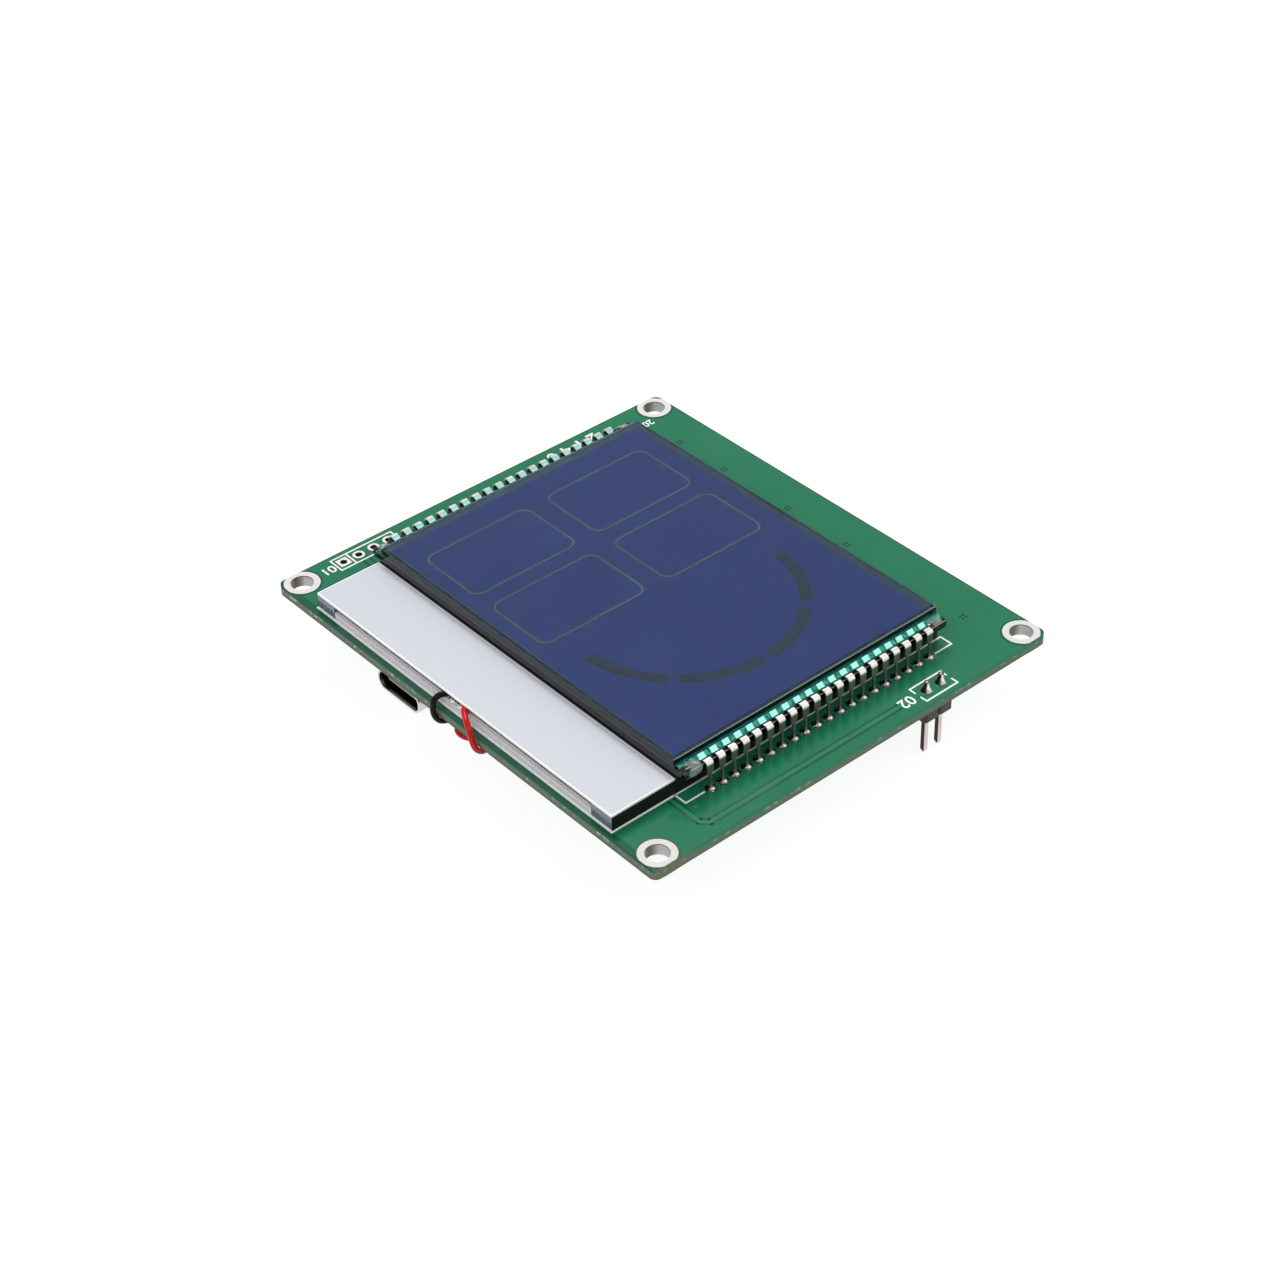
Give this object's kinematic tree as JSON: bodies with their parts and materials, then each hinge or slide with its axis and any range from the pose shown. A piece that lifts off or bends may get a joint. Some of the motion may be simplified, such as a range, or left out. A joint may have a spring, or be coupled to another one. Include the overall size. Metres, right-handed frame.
{
  "type": "segment lcd display",
  "caption": "Segment display module on a square-cornered circuit board, with a clipped glass cell, an edge-lit backlight, mounting holes and a plug receptacle underneath.",
  "frame": {"origin": "centre of the four mounting holes, in the board's underside", "axes": "+X along the pin rows, +Y from the front pin row to the back one, +Z out of the display towards the viewer"},
  "size_m": [0.0692, 0.0776, 0.0153],
  "materials": {
    "board_laminate": "green solder mask on glass-fibre laminate",
    "tin": "bright tin",
    "solder": "shiny solder",
    "legend_white": "printed white ink",
    "white_sheet": "satin white film",
    "clear_acrylic": "clear acrylic",
    "black_tape": "matt black tape",
    "white_board": "white solder mask",
    "lamp_white": "white lamp body",
    "copper": "bare copper",
    "cell_glass": "clear cut glass",
    "seal_resin": "grey-green epoxy",
    "clear_resin": "clear set resin",
    "teal_resin": "clear teal resin",
    "crystal_blue": "dark blue field",
    "segment_grey": "faint grey segments",
    "polarizer_film": "satin polarizer",
    "black_plastic": "moulded black plastic",
    "port_steel": "plated steel shell",
    "gold": "gold-plated contacts",
    "black_sleeve": "glossy black sleeve",
    "red_sleeve": "glossy red sleeve",
    "resistor_ceramic": "black glazed top",
    "capacitor_ceramic": "tan ceramic"
  },
  "bodies": {
    "root": {"circuit_board": "board_laminate", "mounting_hole_rings": "tin", "socket_rings": "tin", "header_rings": "tin", "display_pin_rings": "tin", "board_legend": "legend_white", "header_trace": "board_laminate", "covered_vias": "board_laminate", "reflector_sheet": "white_sheet", "light_guide": "clear_acrylic", "diffuser_sheet": "white_sheet", "black_side_tape": "black_tape", "lamp_strip_board": "white_board", "edge_lamps": "lamp_white", "lamp_contacts": "copper", "lamp_strip_solder": "solder", "rear_glass": "cell_glass", "front_glass": "cell_glass", "perimeter_seal": "seal_resin", "end_seal": "clear_resin", "liquid_crystal_layer": "crystal_blue", "outlined_segments": "segment_grey", "arc_segments": "segment_grey", "front_polarizer": "polarizer_film", "rear_polarizer": "polarizer_film", "front_clip_pins": "tin", "back_clip_pins": "tin", "front_pin_solder": "solder", "back_pin_solder": "solder", "front_ledge_resin": "teal_resin", "back_ledge_resin": "teal_resin", "corner_resin": "clear_resin", "header_spacer": "black_plastic", "header_pins": "tin", "header_solder": "solder", "port_shell": "port_steel", "port_tongue": "black_plastic", "port_contacts": "gold", "black_lead": "black_sleeve", "red_lead": "red_sleeve", "lead_pad_solder": "solder", "driver_chip_body": "black_plastic", "driver_chip_pins": "tin", "regulator_body": "black_plastic", "regulator_pins": "tin", "resistors": "resistor_ceramic", "capacitors": "capacitor_ceramic", "part_end_caps": "solder"}
  },
  "joints": []
}
